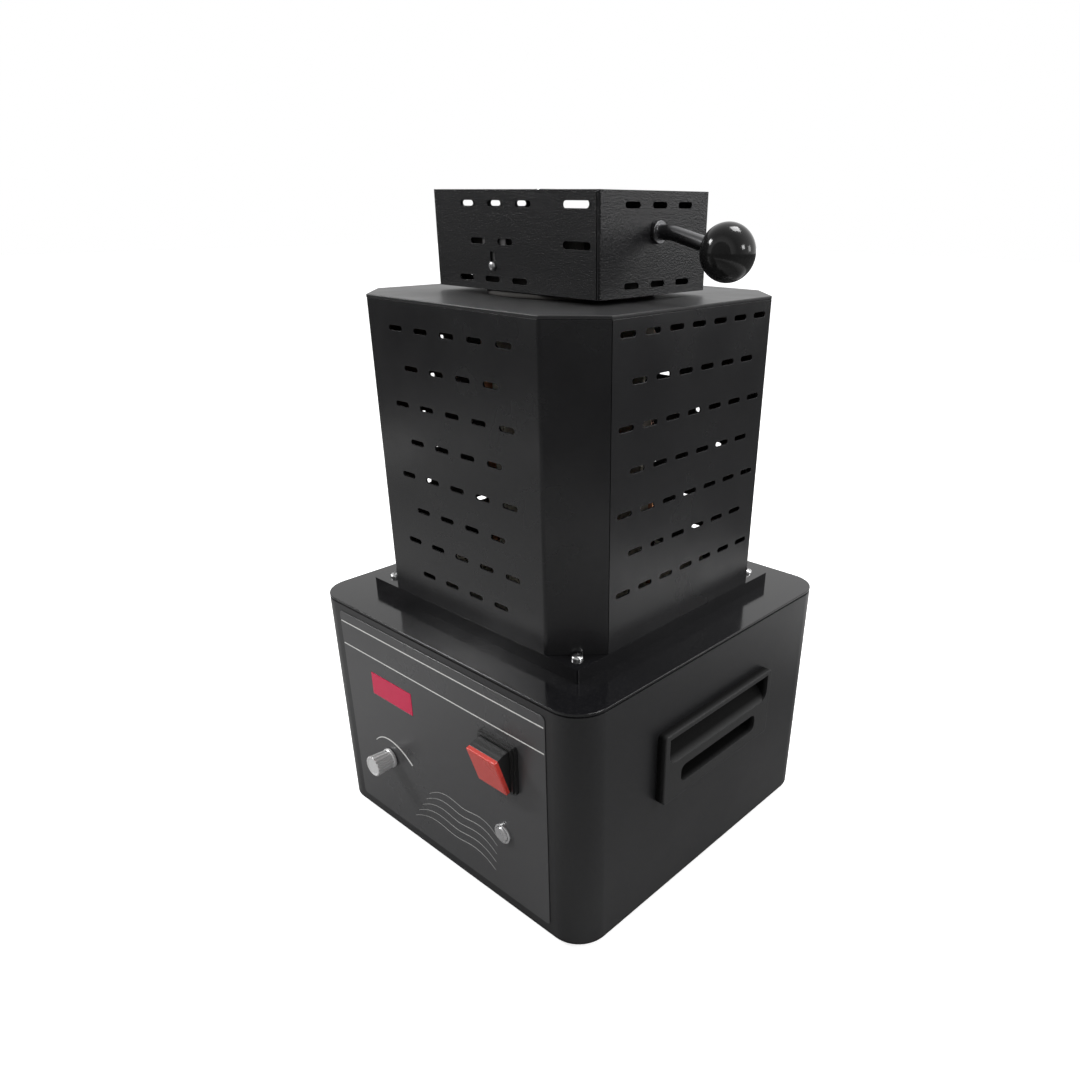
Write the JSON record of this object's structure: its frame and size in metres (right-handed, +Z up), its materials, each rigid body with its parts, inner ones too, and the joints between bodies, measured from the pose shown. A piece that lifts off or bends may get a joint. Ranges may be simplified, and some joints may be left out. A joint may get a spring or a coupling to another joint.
{
  "type": "electric gold melting furnace",
  "caption": "Bench-top electric melting furnace: a square power case with a control panel and side grips carries a slotted octagonal crucible tower under a swinging lid box with a ball handle.",
  "frame": {"origin": "on the floor, at the centre of the whole object's footprint, which is the case's centre", "axes": "+Z up; +X to the right when facing the control panel, through the right side grip; -Y towards the viewer, out of the control panel"},
  "size_m": [0.273, 0.294, 0.4385],
  "materials": {
    "case_paint": "gloss",
    "tower_paint": "gloss",
    "lid_paint": "orange-peel gloss",
    "panel_print": "satin",
    "window_red": "gloss",
    "black_moulding": "satin",
    "switch_red": "gloss",
    "ball_black": "gloss",
    "knob_silver": "turned",
    "bright_screw": "bright",
    "rod_steel": "brushed",
    "plain_steel": "satin",
    "aluminium_fins": "satin",
    "foot_rubber": "matte",
    "circuit_board": "satin",
    "component_case": "satin",
    "copper": "bare copper",
    "graphite": "matte",
    "refractory": "matte",
    "dark_refractory": "matte",
    "insulating_board": "matte"
  },
  "bodies": {
    "furnace": {"case_shell": "case_paint", "case_top_plate": "case_paint", "bottom_plate": "case_paint", "tower_base": "case_paint", "shroud_front": "tower_paint", "shroud_rear": "tower_paint", "shroud_right": "tower_paint", "shroud_left": "tower_paint", "tower_top_plate": "tower_paint", "front_overlay": "panel_print", "display_window": "window_red", "side_grip_right": "black_moulding", "side_grip_left": "black_moulding", "switch_housing": "black_moulding", "fan_frame": "black_moulding", "cable_gland": "black_moulding", "gland_locknut": "black_moulding", "button_bezel": "bright_screw", "tower_base_screws": "bright_screw", "fan_screws": "bright_screw", "pivot_screw": "bright_screw", "pivot_stud": "rod_steel", "button_nut": "plain_steel", "potentiometer": "plain_steel", "foot_screws": "plain_steel", "standoffs": "plain_steel", "fan_guard": "plain_steel", "pivot_nut": "plain_steel", "pivot_washer": "plain_steel", "heat_sink": "aluminium_fins", "rubber_feet": "foot_rubber", "power_board": "circuit_board", "display_board": "circuit_board", "film_capacitors": "component_case", "filter_capacitors": "component_case", "choke": "component_case", "induction_coil": "copper", "coil_leads": "copper", "lead_terminals": "copper", "crucible": "graphite", "base_brick": "refractory", "insulating_sleeve": "refractory", "mouth_ring": "dark_refractory", "support_board": "insulating_board", "coil_combs": "insulating_board"},
    "lid": {"lid_box": "lid_paint", "lid_base_plate": "plain_steel", "lid_block": "dark_refractory", "lid_strap": "plain_steel", "lid_strap_screws": "bright_screw", "pivot_bush": "plain_steel", "handle_rod": "rod_steel", "handle_nut": "plain_steel", "handle_ball": "ball_black"},
    "power_rocker": {"rocker": "black_moulding", "rocker_lens": "switch_red"},
    "power_knob": {"knob": "knob_silver", "pot_shaft": "plain_steel"},
    "start_button": {"button_cap": "bright_screw"},
    "fan": {"fan_rotor": "black_moulding"}
  },
  "joints": [
    {"name": "lid_swing", "type": "hinge", "parent": "furnace", "child": "lid", "pos_m": [-0.0603, 0.0388, 0.3827], "axis": [0, 0, 1], "range_deg": [0, 110]},
    {"name": "rocker_tip", "type": "hinge", "parent": "furnace", "child": "power_rocker", "pos_m": [0.0625, -0.1342, 0.123], "axis": [-1, 0, 0], "range_deg": [0, 34]},
    {"name": "knob_turn", "type": "hinge", "parent": "furnace", "child": "power_knob", "pos_m": [-0.059, -0.138, 0.0676], "axis": [0, -1, 0], "range_deg": [-135, 135]},
    {"name": "button_press", "type": "slide", "parent": "furnace", "child": "start_button", "axis": [0, 1, 0], "range_m": [0, 0.002], "stiffness_N_per_m": 300},
    {"name": "fan_spin", "type": "hinge", "parent": "furnace", "child": "fan", "pos_m": [-0.04, 0.116, 0.095], "axis": [0, 1, 0], "continuous": true}
  ]
}
